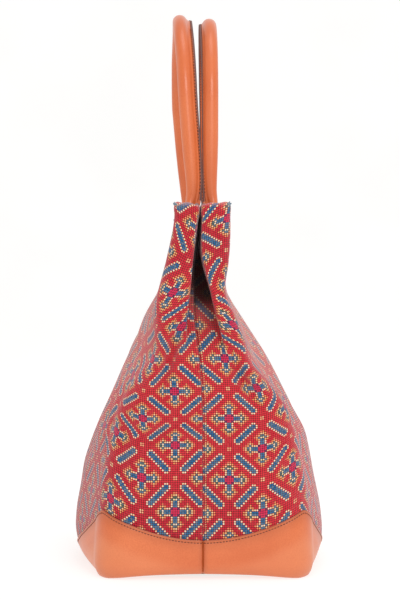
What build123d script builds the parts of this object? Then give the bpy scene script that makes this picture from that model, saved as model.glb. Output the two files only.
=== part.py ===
from build123d import *
from math import cos, dist, radians, sin, sqrt
import os

# Needlepoint tote bag: two stitched canvas halves on a leather base, two rolled leather handles.
# Millimetres. X runs along the bag, Y through its depth (-Y is the front) and Z up.
# Every layer of the bag is a skin: a smooth shape that lies a given depth inside the outer face.

# Bag body, at the outer face of the leather
half_length = 170.0
rim_height = 324.0
bulge_half_depth = 118.0
corner_half_depth = 98.0
ridge_half_depth = 26.0
pleat_depth = 50.0
pleat_half_gap = 0.8
pleat_mouth_half_gap = 3.5
corner_share = 0.3

# Rounded edge under the bag
floor_round_width = 21.0
floor_round_height = 30.0

# Layers
leather = 1.6
canvas = 1.8
lining = 0.7
board = 2.0
seam_gap = 0.3
hem = 4.0
hem_depth = 15.0
mouth_half_gap = 0.4

# Scalloped edge of the leather base
edge_at_end_seam = 33.0
edge_at_corner = 57.0
edge_at_side = 15.0
scallop_power = 1.9
lap = 12.0

# Handles
leg_spacing = 150.0
front_handle_height = 504.0
back_handle_height = 500.5
front_lean = 2.4
back_lean = -1.1
roll_radius = 6.75
roll_leather = 1.85
roll_play = 0.1
fin_width = 4.0
fin_thick = 3.2
tongue_length = 18.0
tongue_width = 20.0
tongue_thick = 7.0

# Sewn handle tabs
tab_width = 34.0
tab_height = 56.0
tab_thick = 2.6
tab_corner_radius = 14.0
tab_below_rim = 8.0
hinge_gap = 0.6

# Magnetic snap and pocket
snap_below_rim = 25.0
snap_radius = 9.0
snap_nose_radius = 3.5
snap_nose = 1.4
snap_play = 0.1
pocket_width = 170.0
pocket_top = 238.0
pocket_bottom = 118.0
pocket_thick = 0.9

canvas_depth = leather + seam_gap
canvas_inner = canvas_depth + canvas
lining_depth = canvas_inner + seam_gap
lining_inner = lining_depth + lining
hem_inner = canvas_depth + hem
mouth_half_depth = hem_inner + mouth_half_gap
core_radius = roll_radius - roll_leather
far = 400.0

# How the bag changes with height: share of the rim height, then the shares by which the middle
# of a side, the ridge at its end and the tucked pleat have come from their value at the mouth.
stations = [
    (0.093, 1.000, 1.000, 0.00),
    (0.176, 0.987, 1.000, 0.00),
    (0.278, 0.925, 0.880, 0.00),
    (0.383, 0.825, 0.735, 0.00),
    (0.488, 0.685, 0.535, 0.00),
    (0.586, 0.555, 0.305, 0.00),
    (0.654, 0.445, 0.180, 0.06),
    (0.735, 0.305, 0.110, 0.35),
    (0.809, 0.191, 0.070, 0.62),
    (0.870, 0.079, 0.040, 0.80),
    (0.923, 0.007, 0.020, 0.90),
    (1.000, 0.000, 0.000, 1.00),
]


def quadrant(middle_share, ridge_share, pleat_share):
    """Points of the +X, -Y quarter of a level section, from the end seam to the middle."""
    middle = mouth_half_depth + middle_share * (bulge_half_depth - mouth_half_depth)
    ridge = ridge_half_depth + ridge_share * (corner_half_depth - ridge_half_depth)
    recess = pleat_share * pleat_depth
    closed = sqrt(pleat_share)
    corner = corner_share * ridge
    flat = ridge - corner
    opening = pleat_mouth_half_gap - pleat_half_gap

    points = [(half_length - recess, 0.0)]
    for along, across, tucked in (
        (0.95, 0.15, 0.0),
        (0.60, 0.38, 0.1),
        (0.25, 0.60, 0.4),
        (0.03, 0.82, 1.0),
    ):
        y = (1 - closed) * across * flat + closed * (pleat_half_gap + tucked * opening)
        points.append((half_length - along * recess, -y))
    for turn in (0, 45, 90):
        x = half_length - corner * (1 - cos(radians(turn)))
        points.append((x, -(flat + corner * sin(radians(turn)))))
    for share in (0.8, 0.6, 0.4, 0.2):
        x = share * (half_length - corner)
        points.append((x, -(middle + (ridge - middle) * share ** (2 + closed))))
    points.append((0.0, -middle))
    return points


def shares_at(z):
    """The middle, ridge and pleat shares at a height, between two stations."""
    share = max(z / rim_height, stations[0][0])
    for low, high in zip(stations, stations[1:]):
        if share <= high[0]:
            part = (share - low[0]) / (high[0] - low[0])
            return [a + part * (b - a) for a, b in zip(low[1:], high[1:])]
    return stations[-1][1:]


def moved_inwards(points, depth):
    """Points of a quarter section, each moved inwards by a depth, square to its neighbours."""
    first, last = points[0], points[-1]
    before = (points[1][0], -points[1][1])
    after = (-points[-2][0], points[-2][1])
    line = [before] + points + [after]
    moved = []
    for (x0, y0), (x, y), (x1, y1) in zip(line, line[1:], line[2:]):
        run = dist((x0, y0), (x1, y1))
        moved.append((x + depth * (y1 - y0) / run, y - depth * (x1 - x0) / run))
    return [(moved[0][0], first[1])] + moved[1:-1] + [(last[0], moved[-1][1])]


def quarter_at(z, depth):
    """Points of a quarter of the level section at a height, for the layer at a depth."""
    turned = 1 - max(0.0, z - depth) / (floor_round_height - depth)
    rounding = 1 - sqrt(1 - max(0.0, turned) ** 2)
    return moved_inwards(quadrant(*shares_at(z)), depth + floor_round_width * rounding)


def mean_places(lines):
    """Places of the points along a curve, the same at all levels, as mean distances."""
    places = [0.0]
    for i in range(len(lines[0]) - 1):
        gaps = [dist(line[i], line[i + 1]) for line in lines]
        places.append(places[-1] + sum(gaps) / len(gaps))
    return places


# Where the corner and the side start in a quarter's points, and the side's place in its curves
corner_start = 5
side_start = 7
side_curve = 2
mean_heights = [share * rim_height for share, *_ in stations]
mean_quarters = [quarter_at(z, 0.0) for z in mean_heights]
tuck_places = mean_places([line[: corner_start + 1] for line in mean_quarters])
side_places = mean_places(
    [line[side_start:] + [(-x, y) for x, y in line[-2 : side_start - 1 : -1]] for line in mean_quarters]
)


def curve(points, places, first, last):
    """A spline through points at set places, its end directions given, its speed even."""
    start = dist(points[0], points[1]) / (places[1] - places[0])
    end = dist(points[-2], points[-1]) / (places[-1] - places[-2])
    tangents = [(first[0] * start, first[1] * start), (last[0] * end, last[1] * end)]
    return Edge.make_spline(points, tangents=tangents, parameters=places, scale=False)


def front_edges(z, depth):
    """Curves of the front half's section: a tuck, a corner, the side, the far corner and tuck."""
    line = quarter_at(z, depth)
    tuck = line[: corner_start + 1]
    corner = line[corner_start : side_start + 1]
    side = line[side_start:]
    side = side + [(-x, y) for x, y in side[-2::-1]]
    run = dist(side[0], side[1])
    into = ((side[1][0] - side[0][0]) / run, (side[1][1] - side[0][1]) / run)
    far_places = [tuck_places[-1] - place for place in tuck_places[::-1]]
    return [
        curve(tuck, tuck_places, (0, -1), (0, -1)),
        Edge.make_three_point_arc(*corner),
        curve(side, side_places, into, (into[0], -into[1])),
        Edge.make_three_point_arc(*[(-x, y) for x, y in corner[::-1]]),
        curve([(-x, y) for x, y in tuck[::-1]], far_places, (0, 1), (0, 1)),
    ]


def wall(low, high, outer, inner, side_only=False):
    """Front half of one layer between two heights, from its outer to its inner depth.

    The section's curves are joined by ruled faces from one level to the next.
    """
    round_shares = (0.03, 0.10, 0.22, 0.40, 0.65, 1.0, 1.4) if low < floor_round_height else ()
    levels = [low + share * (floor_round_height - low) for share in round_shares]
    levels += [z for z in mean_heights if max([low] + levels) + 1 < z < high - 1]
    with BuildPart() as layer:
        for z in [low] + levels + [high]:
            with BuildSketch(Plane.XY.offset(z)):
                with BuildLine():
                    faces = [front_edges(z, outer), front_edges(z, inner)]
                    if side_only:
                        faces = [[edges[side_curve]] for edges in faces]
                    for edges in faces:
                        add(edges)
                    Line(faces[0][0] @ 0, faces[1][0] @ 0)
                    Line(faces[0][-1] @ 1, faces[1][-1] @ 1)
                make_face()
        loft(ruled=True)
    return layer.part


def floor_plate(low, thickness, inset):
    """Front half of a flat layer under the bag, its edge an inset from the widest outline."""
    with BuildPart() as plate:
        with BuildSketch(Plane.XY.offset(low)):
            with BuildLine():
                edges = front_edges(floor_round_height, inset)
                add(edges)
                Line(edges[0] @ 0, edges[-1] @ 1)
            make_face()
        extrude(amount=thickness)
    return plate.part


def side_point(z, x):
    """Point of the canvas face on the front side, at a height and a distance from the middle."""
    side = front_edges(z, canvas_depth)[side_curve]
    low, high = 0.0, 0.5
    for _ in range(30):
        middle = (low + high) / 2
        if (side @ middle).X > x:
            low = middle
        else:
            high = middle
    return (side @ high).X, (side @ high).Y


def scalloped(middle_height, corner, drop, plane, closing):
    """Solid between one face's scalloped edge line, lowered by a drop, and a far closing height."""
    steps = 8
    line = []
    for i in range(steps + 1):
        share = i / steps
        rise = (edge_at_corner - middle_height) * share**scallop_power
        line.append((share * corner, middle_height + rise - drop))
    with BuildPart() as cut:
        with BuildSketch(plane):
            with BuildLine():
                Spline(line)
                Spline([(-across, z) for across, z in line])
                for side in (-1, 1):
                    top = line[-1][1]
                    Polyline((side * corner, top), (side * far, top), (side * far, closing))
                Line((-far, closing), (far, closing))
            make_face()
        extrude(amount=far, both=True)
    return cut.part


def scallops(drop, closing):
    """The scalloped solids of the ends and of the sides."""
    corner = corner_share * corner_half_depth * (1 - cos(radians(45)))
    return (
        scalloped(edge_at_end_seam, corner_half_depth - corner, drop, Plane.YZ, closing),
        scalloped(edge_at_side, half_length - corner, drop, Plane.XZ, closing),
    )


def save(piece, name):
    """Labels a finished piece and writes its file."""
    piece.label = name
    export_step(piece, f"parts/{name}.step")


def mirrored(piece):
    """The back piece that mirrors a front one."""
    with BuildPart() as twin:
        add(piece)
        mirror(about=Plane.XZ, mode=Mode.REPLACE)
    return twin.part


os.makedirs("parts", exist_ok=True)
hem_bottom = rim_height - hem_depth

# Leather base, one half: cut, scalloped and turned at its edge, wrapped under to the middle seam
with BuildPart() as base_half:
    add(wall(0.0, edge_at_corner + lap, 0.0, leather))
    add(scallops(0.0, far), mode=Mode.SUBTRACT)
    add(floor_plate(0.0, leather, floor_round_width + leather / 2))
save(base_half.part, "front_base")
save(mirrored(base_half.part), "back_base")

# Stitched canvas, one half: lapped under the leather below, turned in as a thick hem at the rim
end_scallop, side_scallop = scallops(lap, -far)
with BuildPart() as under_lap:
    add(end_scallop)
    add(side_scallop, mode=Mode.INTERSECT)
with BuildPart() as panel_half:
    add(wall(canvas_depth, hem_bottom, canvas_depth, canvas_inner))
    add(under_lap.part, mode=Mode.SUBTRACT)
    add(wall(hem_bottom, rim_height, canvas_depth, hem_inner))
save(panel_half.part, "front_panel")
save(mirrored(panel_half.part), "back_panel")

# Lining, one half: a loose cloth shell that stops under the hem and crosses the floor
with BuildPart() as lining_half:
    add(wall(lining_depth, hem_bottom - seam_gap, lining_depth, lining_inner))
    add(floor_plate(lining_depth, lining, lining_depth + floor_round_width + lining / 2))
save(lining_half.part, "front_lining")
save(mirrored(lining_half.part), "back_lining")

# Stiffening board on the leather floor, under the lining
with BuildPart() as base_board:
    with BuildSketch(Plane.XY.offset(leather)):
        with BuildLine():
            rim = front_edges(floor_round_height, lining_depth + floor_round_width)
            add(rim)
            mirror(rim, about=Plane.XZ)
        make_face()
    extrude(amount=board)
save(base_board.part, "base_board")

# Handle tabs: shield-shaped leather patches that follow the panel and hold the handle ends
tab_top = rim_height - tab_below_rim
tab_face = canvas_depth - seam_gap
with BuildPart() as tab_blank:
    with BuildSketch(Plane.XZ):
        with Locations((leg_spacing / 2, tab_top - tab_height / 2)):
            Rectangle(tab_width, tab_height)
        lower = vertices().group_by(Axis.Y)[0]
        fillet(lower, tab_corner_radius)
    extrude(amount=bulge_half_depth)
with BuildPart() as right_tab:
    add(wall(mean_heights[5], hem_bottom, tab_face - tab_thick, tab_face, side_only=True))
    add(wall(hem_bottom, rim_height, tab_face - tab_thick, tab_face, side_only=True))
    add(tab_blank.part, mode=Mode.INTERSECT)
with BuildPart() as left_tab:
    add(right_tab.part)
    mirror(about=Plane.YZ, mode=Mode.REPLACE)
save(right_tab.part, "front_right_tab")
save(left_tab.part, "front_left_tab")
save(mirrored(right_tab.part), "back_right_tab")
save(mirrored(left_tab.part), "back_left_tab")


def handle(top_height, lean):
    """Cover and cord core of a handle in front of the bag, its ends pressed flat above the tabs."""
    hinge_z = tab_top + hinge_gap
    face_x, face_y = side_point(hinge_z, leg_spacing / 2)
    hinge_y = face_y - tab_thick - tongue_thick / 2
    rise = (0, -sin(radians(lean)), cos(radians(lean)))
    loop = Plane(origin=(0, hinge_y, hinge_z), x_dir=(1, 0, 0), z_dir=(0, -rise[2], rise[1]))
    leg = leg_spacing / 2
    crown = (top_height - hinge_z) / rise[2]
    with BuildLine(loop) as path:
        Line((-leg, tongue_length), (-leg, crown - leg))
        ThreePointArc((-leg, crown - leg), (0, crown), (leg, crown - leg))
        Line((leg, crown - leg), (leg, tongue_length))
    start = Plane(origin=loop.from_local_coords((-leg, tongue_length, 0)), x_dir=(1, 0, 0), z_dir=rise)
    fin_reach = roll_radius + fin_width
    with BuildPart() as cover:
        with BuildSketch(start):
            Circle(roll_radius)
            with Locations((0, fin_reach / 2)):
                Rectangle(fin_thick, fin_reach)
            Circle(core_radius, mode=Mode.SUBTRACT)
        sweep(path=path.line)
        for x in (-leg, leg):
            end = Plane(origin=loop.from_local_coords((x, 0, 0)), x_dir=(1, 0, 0), z_dir=rise)
            with BuildSketch(end):
                Ellipse(tongue_width / 2, tongue_thick / 2)
            with BuildSketch(end.offset(tongue_length)):
                Circle(roll_radius)
            loft()
    with BuildPart() as core:
        with BuildSketch(start):
            Circle(core_radius - roll_play)
        sweep(path=path.line)
    return cover.part, core.part


# Rolled leather handles: a strip closed round a cord and stitched into a fin on its inner side
for name, height, lean in (
    ("front", front_handle_height, front_lean),
    ("back", back_handle_height, back_lean),
):
    cover, core = handle(height, lean)
    if name == "back":
        cover, core = mirrored(cover), mirrored(core)
    save(cover, name + "_handle_cover")
    save(core, name + "_handle_core")

# Magnetic snap: a dished socket and a stud, each on its own lining
snap_z = rim_height - snap_below_rim
lining_y = side_point(snap_z + snap_radius, 0)[1] + lining_inner - canvas_depth
seat = -lining_y - seam_gap
with BuildPart() as snap_socket:
    with BuildSketch(Plane(origin=(0, -seat, snap_z), z_dir=(0, 1, 0))):
        Circle(snap_radius)
    extrude(amount=seat - snap_play / 2)
    with BuildSketch(Plane(origin=(0, 0, snap_z), z_dir=(0, -1, 0))):
        Circle(snap_nose_radius + snap_play)
    extrude(amount=snap_nose + snap_play, mode=Mode.SUBTRACT)
save(snap_socket.part, "snap_socket")
with BuildPart() as snap_stud:
    with BuildSketch(Plane(origin=(0, seat, snap_z), z_dir=(0, -1, 0))):
        Circle(snap_radius)
    extrude(amount=seat - snap_play / 2)
    with BuildSketch(Plane(origin=(0, seat, snap_z), z_dir=(0, -1, 0))):
        Circle(snap_nose_radius)
    extrude(amount=seat + snap_nose)
save(snap_stud.part, "snap_stud")

# Slip pocket sewn on the back lining
pocket_face = lining_inner + seam_gap
with BuildPart() as pocket_blank:
    with BuildSketch(Plane.XZ):
        with Locations((0, (pocket_top + pocket_bottom) / 2)):
            Rectangle(pocket_width, pocket_top - pocket_bottom)
        fillet(vertices().group_by(Axis.Y)[0], tab_corner_radius)
    extrude(amount=bulge_half_depth)
with BuildPart() as pocket:
    add(wall(pocket_bottom - lap, pocket_top + lap, pocket_face, pocket_face + pocket_thick, side_only=True))
    add(pocket_blank.part, mode=Mode.INTERSECT)
save(mirrored(pocket.part), "inner_pocket")
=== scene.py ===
from math import cos, hypot, pi, radians, sin
import bmesh
import bpy
import numpy as np
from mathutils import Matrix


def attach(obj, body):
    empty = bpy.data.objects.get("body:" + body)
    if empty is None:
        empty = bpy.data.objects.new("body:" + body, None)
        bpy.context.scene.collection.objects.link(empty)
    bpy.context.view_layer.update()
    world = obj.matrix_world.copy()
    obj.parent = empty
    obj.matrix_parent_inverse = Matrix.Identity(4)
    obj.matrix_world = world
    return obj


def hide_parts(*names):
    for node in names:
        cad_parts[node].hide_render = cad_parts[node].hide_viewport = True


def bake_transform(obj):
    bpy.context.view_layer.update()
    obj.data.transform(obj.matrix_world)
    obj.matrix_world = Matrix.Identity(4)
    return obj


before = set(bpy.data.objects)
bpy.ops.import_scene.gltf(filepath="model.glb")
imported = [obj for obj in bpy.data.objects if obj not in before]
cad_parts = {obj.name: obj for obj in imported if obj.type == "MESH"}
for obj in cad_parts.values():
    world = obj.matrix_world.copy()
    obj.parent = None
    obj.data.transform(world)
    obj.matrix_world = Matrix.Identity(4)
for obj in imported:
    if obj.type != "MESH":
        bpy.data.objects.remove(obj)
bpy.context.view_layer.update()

# Photographer's table: a pale sweep of paper, a white room, and large soft lamps on both sides.
# The camera looks along the bag's length, level with the middle of the picture, turned a little.
# Pixels are those of the 400 by 600 photograph; the bag's near end is at full scale.
PHOTO_WIDTH, PHOTO_HEIGHT = 400, 600
METRES_A_PIXEL = 0.000856
NEAR_END = 0.170
CAMERA_AWAY = 1.5
FLOOR_ROW = 580.5
NEAR_CENTRE, FAR_CENTRE = 203.0, 198.5
SENSOR = 0.036

far_scale = METRES_A_PIXEL * (CAMERA_AWAY + 2 * NEAR_END) / CAMERA_AWAY
near_aim = (PHOTO_WIDTH / 2 - NEAR_CENTRE) * METRES_A_PIXEL
far_aim = (PHOTO_WIDTH / 2 - FAR_CENTRE) * far_scale
turn = (far_aim - near_aim) / (2 * NEAR_END)
eye_height = (FLOOR_ROW - PHOTO_HEIGHT / 2) * METRES_A_PIXEL

camera_data = bpy.data.cameras.new("camera")
camera_data.sensor_fit = "VERTICAL"
camera_data.sensor_height = SENSOR * 1000
camera_data.lens = SENSOR * 1000 * CAMERA_AWAY / (PHOTO_HEIGHT * METRES_A_PIXEL)
camera = bpy.data.objects.new("camera", camera_data)
bpy.context.scene.collection.objects.link(camera)
camera.location = (NEAR_END + CAMERA_AWAY, near_aim - turn * CAMERA_AWAY, eye_height)
camera.rotation_euler = (pi / 2, 0, pi / 2 - turn)
bpy.context.scene.camera = camera


class Wire:
    """A number on its way through a material: arithmetic on it adds the Math nodes."""

    def __init__(self, finish, socket):
        self.finish, self.socket = finish, socket

    def math(self, operation, *others):
        return self.finish.node("ShaderNodeMath", {"operation": operation}, self, *others)

    def __add__(self, other):
        return self.math("ADD", other)

    def __mul__(self, other):
        return self.math("MULTIPLY", other)

    def __sub__(self, other):
        return self.math("SUBTRACT", other)

    def __rsub__(self, other):
        return (self * -1.0) + other

    def __lt__(self, other):
        return self.math("LESS_THAN", other)

    def __gt__(self, other):
        return self.math("GREATER_THAN", other)

    __radd__, __rmul__ = __add__, __mul__

    def ramp(self, low, high, start=0.0, end=1.0):
        """Goes from start to end as the value goes from low to high, and stays there."""
        settings = {"interpolation_type": "SMOOTHSTEP"}
        return self.finish.node("ShaderNodeMapRange", settings, self, low, high, start, end)


class Finish:
    """A material made of one principled shader and the nodes that vary it."""

    def __init__(self, name, **constants):
        self.material = bpy.data.materials.new(name)
        self.material.use_nodes = True
        self.tree = self.material.node_tree
        self.shader = self.tree.nodes["Principled BSDF"]
        for socket, value in constants.items():
            self.shader.inputs[socket.replace("_", " ")].default_value = value

    def node(self, kind, settings, *values, out=0, **named):
        made = self.tree.nodes.new(kind)
        for key, value in settings.items():
            setattr(made, key, value)
        for key, value in list(enumerate(values)) + list(named.items()):
            socket = made.inputs[key if isinstance(key, int) else key.replace("_", " ")]
            if isinstance(value, Wire):
                self.tree.links.new(value.socket, socket)
            else:
                socket.default_value = value
        return Wire(self, made.outputs[out])

    def places(self, scale=(1, 1, 1)):
        found = self.node("ShaderNodeTexCoord", {}, out="Object")
        return self.node("ShaderNodeMapping", {}, found, Scale=scale)

    def noise(self, scale, detail=3.0, stretch=(1, 1, 1)):
        places = self.places(stretch)
        return self.node("ShaderNodeTexNoise", {}, Vector=places, Scale=scale, Detail=detail)

    def part(self, vector, axis):
        """One of a vector's three numbers."""
        return self.node("ShaderNodeSeparateXYZ", {}, vector, out=axis)

    def mix(self, share, first, second):
        made = self.tree.nodes.new("ShaderNodeMix")
        made.data_type = "RGBA"
        for socket, value in zip((made.inputs[0], made.inputs[6], made.inputs[7]), (share, first, second)):
            if isinstance(value, Wire):
                self.tree.links.new(value.socket, socket)
            else:
                socket.default_value = value
        return Wire(self, made.outputs[2])

    def set(self, **varying):
        for name, value in varying.items():
            self.tree.links.new(value.socket, self.shader.inputs[name.replace("_", " ")])
        return self.material

    def bump(self, height, distance, strength=1.0):
        return self.node("ShaderNodeBump", {}, Height=height, Distance=distance, Strength=strength)


def colour(red, green, blue):
    """A colour given as it looks, in 0 to 255."""
    return tuple((c / 255) ** 2.2 for c in (red, green, blue)) + (1.0,)


paper = Finish("studio_paper", Roughness=0.8, Emission_Strength=0.76)
soft_mottle = paper.noise(3.0).ramp(0.3, 0.7)
paper.set(
    Base_Color=paper.mix(soft_mottle, colour(150, 149, 148), colour(147, 146, 145)),
    Emission_Color=paper.mix(soft_mottle, colour(255, 254, 253), colour(252, 252, 251)),
)
FLOOR_SIZE, SWEEP_START, SWEEP_RADIUS, WALL_TOP, SWEEP_STEPS = 7.0, -2.2, 1.4, 2.6, 16
bpy.ops.object.select_all(action="DESELECT")
bpy.ops.mesh.primitive_plane_add(size=FLOOR_SIZE, location=(FLOOR_SIZE / 2 + SWEEP_START, 0, 0))
sweep = bpy.context.object
sweep.name = "studio_sweep"
bpy.ops.object.mode_set(mode="EDIT")
bpy.ops.mesh.select_mode(type="EDGE")
bpy.ops.mesh.select_all(action="DESELECT")
form = bmesh.from_edit_mesh(sweep.data)
for edge in form.edges:
    edge.select = all(v.co.x < 0 for v in edge.verts)
form.select_flush_mode()
bmesh.update_edit_mesh(sweep.data)
for step in range(SWEEP_STEPS):
    low, high = [radians(90 * k / SWEEP_STEPS) for k in (step, step + 1)]
    move = (SWEEP_RADIUS * (sin(low) - sin(high)), 0, SWEEP_RADIUS * (cos(low) - cos(high)))
    bpy.ops.mesh.extrude_region_move(TRANSFORM_OT_translate={"value": move})
bpy.ops.mesh.extrude_region_move(TRANSFORM_OT_translate={"value": (0, 0, WALL_TOP)})
bpy.ops.object.mode_set(mode="OBJECT")
bpy.ops.object.transform_apply(location=True, rotation=True, scale=True)
bpy.ops.object.shade_smooth()
sweep.data.materials.append(paper.material)

ROOM_LIGHT = 0.66
room = bpy.data.worlds.new("white_room")
room.use_nodes = True
room.node_tree.nodes["Background"].inputs["Color"].default_value = (1.0, 0.99, 0.98, 1)
room.node_tree.nodes["Background"].inputs["Strength"].default_value = ROOM_LIGHT
bpy.context.scene.world = room
bpy.context.scene.view_settings.view_transform = "Standard"
for name, place, size, power in (
    ("front_lamp", (1.9, 0.5, 1.1), 0.7, 13),
    ("front_side_lamp", (-0.3, -1.6, 0.9), 0.9, 2.2),
    ("back_side_lamp", (-0.3, 1.6, 0.9), 0.9, 0.9),
    ("top_lamp", (0.3, 0.2, 2.0), 1.0, 6),
):
    lamp_data = bpy.data.lights.new(name, "AREA")
    lamp_data.size, lamp_data.energy = size, power
    lamp = bpy.data.objects.new(name, lamp_data)
    bpy.context.scene.collection.objects.link(lamp)
    lamp.location = place
    aim = [goal - start for goal, start in zip((0, 0, 0.2), place)]
    lamp.rotation_euler = (np.arctan2(hypot(aim[0], aim[1]), -aim[2]), 0, np.arctan2(-aim[0], aim[1]))

# Bag body: two halves of stitched canvas, front and back, sewn together down the middle of each end.
# Each half is one cut piece with its threads upright, so every column of the mesh is one thread:
# it keeps its distance from the seam, and the tuck at each end takes in the spare cloth.
MM = 0.001
HALF_LENGTH, RIM, CANVAS, STITCH = 168.1, 324.6, 1.8, 1.95
SIDE = {"front": -1, "back": 1}
# Millimetres: height, then how far from the bag's centre plane the seam, the floor of the tuck,
# the inner edge of the lobe and its outer ridge are, and how deep the tuck goes in from the end
FRONT_END = (
    (324, 2.0, 3.0, 3.2, 25.0, 56),
    (314, 1.8, 3.2, 3.8, 25.6, 57),
    (303, 2.6, 4.2, 5.2, 26.9, 57),
    (285, 4.8, 6.8, 8.0, 30.2, 52),
    (269, 6.8, 10.6, 10.2, 33.2, 46),
    (255, 7.2, 14.0, 10.4, 36.9, 38),
    (242, 7.4, 14.0, 11.0, 40.0, 29),
    (228, 7.3, 15.0, 11.8, 41.4, 20),
    (215, 6.2, 15.0, 13.0, 41.7, 11),
    (203, 4.6, 14.5, 13.5, 40.6, 4),
    (190, 2.8, 14.0, 14.0, 44.6, 0),
    (178, 1.8, 14.0, 14.0, 54.5, 0),
    (163, 0.8, 14.0, 14.0, 67.0, 0),
    (146, 0.0, 14.0, 14.0, 75.0, 0),
    (120, 0.0, 14.0, 14.0, 81.5, 0),
    (90, 0.0, 14.0, 14.0, 87.5, 0),
    (57, 0.0, 14.0, 14.0, 91.0, 0),
    (0, 0.0, 14.0, 14.0, 94.0, 0),
)
BACK_END = (
    (324, -2.0, -1.6, -1.4, 22.9, 57),
    (314, -1.8, -1.5, -1.2, 23.0, 57),
    (303, -2.6, -1.8, -1.7, 23.1, 60),
    (285, -4.8, -2.6, -2.0, 23.2, 58),
    (269, -6.8, 1.5, 0.2, 22.6, 54),
    (255, -7.2, 6.5, 3.8, 20.4, 47),
    (246, -7.4, 9.0, 6.2, 19.8, 40),
    (237, -7.4, 11.0, 8.6, 23.4, 32),
    (224, -7.0, 14.5, 12.4, 29.0, 22),
    (211, -5.7, 17.0, 15.6, 32.8, 12),
    (200, -4.2, 18.0, 17.4, 36.0, 5),
    (187, -2.5, 18.0, 18.0, 40.0, 1),
    (178, -1.8, 19.0, 19.0, 48.5, 0),
    (163, -0.8, 19.0, 19.0, 62.0, 0),
    (151, 0.0, 19.0, 19.0, 71.5, 0),
    (120, 0.0, 19.0, 19.0, 83.0, 0),
    (90, 0.0, 19.0, 19.0, 89.5, 0),
    (57, 0.0, 19.0, 19.0, 94.0, 0),
    (0, 0.0, 19.0, 19.0, 96.0, 0),
)
# Half width of each half at the middle of the bag's length
FRONT_MIDDLE = (
    (324, 8.2), (310, 8.4), (299, 10.0), (282, 16.5), (262, 28.0), (238, 42.0), (226, 50.0),
    (212, 57.0), (196, 66.0), (161, 80.0), (132, 94.0), (89, 110.0), (48, 117.5), (28, 118.0), (0, 118.0),
)
BACK_MIDDLE = (
    (324, 8.2), (299, 8.6), (282, 10.5), (262, 15.5), (242, 23.0), (231, 30.5), (220, 38.0),
    (208, 47.0), (197, 56.0), (185, 63.5), (162, 73.5), (139, 86.0), (120, 96.5), (94, 103.0),
    (70, 108.0), (50, 112.0), (28, 114.5), (0, 114.5),
)
# Creases that run down an end: height, distance from the centre plane, depth; then their half width
FRONT_CREASES = (
    (
        ((224, 17, 3.0), (213, 20, 7.5), (200, 25, 11.0), (186, 29.5, 10.0), (167, 35, 4.5), (148, 41, 0.0)),
        3.4,
    ),
    (((205, 33, 0.0), (190, 37, -2.5), (172, 44, -3.0), (150, 54, 0.0)), 6.0),
    (((150, 62, 0.0), (128, 66, 3.0), (105, 68, 3.5), (84, 70, 0.0)), 6.0),
    (((150, 50, 0.0), (130, 52, -2.5), (106, 56, -2.0), (88, 58, 0.0)), 7.0),
)
BACK_CREASES = (
    (
        ((212, 21, 2.0), (198, 24, 5.0), (184, 29, 8.0), (170, 35, 8.0), (156, 43, 3.5), (140, 51, 0.0)),
        3.6,
    ),
    (((190, 33, 0.0), (174, 44, -2.2), (158, 54, -1.6), (142, 60, 0.0)), 6.0),
    (((128, 66, 0.0), (112, 69, 2.2), (92, 73, 2.8), (74, 78, 0.0)), 5.5),
)
# Creases across an end: distance from the centre plane, height, depth; then their half width
FRONT_CROSS_CREASES = (
    (((8, 276, 0.0), (12, 268, 1.6), (24, 248, 1.8), (32, 238, 0.0)), 3.2),
    (((12, 137, 0.0), (22, 133, 2.5), (36, 127, 4.5), (50, 121, 3.5), (64, 116, 0.0)), 4.2),
    (((10, 148, 0.0), (24, 145, -1.6), (44, 139, -2.4), (60, 130, 0.0)), 6.5),
)
BACK_CROSS_CREASES = (
    (((12, 232, 0.0), (20, 228, 1.4), (30, 240, 1.6), (36, 246, 0.0)), 4.0),
    (((22, 176, 0.0), (34, 170, 2.0), (50, 160, 2.4), (62, 150, 0.0)), 4.0),
)
# Soft folds of a side: height, place along the bag, how far they stand out; then their half width
SIDE_FOLDS = (
    (((300, 118, 0), (262, 112, 2.5), (220, 118, 4), (180, 130, 4.5), (130, 142, 3.5), (80, 150, 0)), 13.0),
    (((290, 96, 0), (250, 92, -2), (205, 98, -4), (160, 112, -3.5), (110, 124, -2), (70, 130, 0)), 12.0),
    (((300, 52, 0.0), (250, 62, 2.6), (200, 74, 3.6), (150, 88, 3.0), (100, 98, 0.0)), 14.0),
    (((300, 20, 0.0), (240, 26, -2.6), (190, 40, -3.0), (140, 48, 0.0)), 15.0),
    (((290, -60, 0.0), (240, -66, 3.0), (190, -78, 3.6), (140, -86, 2.6), (90, -92, 0.0)), 14.0),
    (((290, -100, 0.0), (240, -96, -2.6), (190, -104, -3.8), (130, -122, -3.0), (80, -130, 0.0)), 12.0),
)
CORNER_SHARE, CORNER_STEPS = 0.3, 8
THREAD_STEP, ROUNDING_SPREAD = 0.9, 2.3
LEVEL_SPREAD = 5.0
# The upper part closes from this height, over this much
CLOSING_FROM, CLOSING_RUN = 205, 60.0
# How far in from an end its creases are pressed, and how soon they fade
CREASED, CREASE_FADE = 30, 15


def eased(line, reach, spread, mode="edge", **ends):
    """A row of numbers with its bends eased out."""
    weights = np.exp(-0.5 * (np.arange(-reach, reach + 1) / spread) ** 2)
    return np.convolve(np.pad(line, reach, mode=mode, **ends), weights / weights.sum(), mode="valid")


def bell(place, centre, width):
    """A smooth bump, one high at its centre."""
    return np.exp(-(((place - centre) / width) ** 2))


def run_along(line):
    """Length along a line at each of its points."""
    return np.concatenate([[0.0], np.cumsum(np.linalg.norm(np.diff(line, axis=0), axis=1))])


def at_marks(marks, run, line):
    """A line's values at marks along its run."""
    return np.stack([np.interp(marks, run, column) for column in line.T], axis=1)


def unit(vectors):
    """Vectors made one long."""
    return vectors / (np.linalg.norm(vectors, axis=-1, keepdims=True) + 1e-12)


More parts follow.
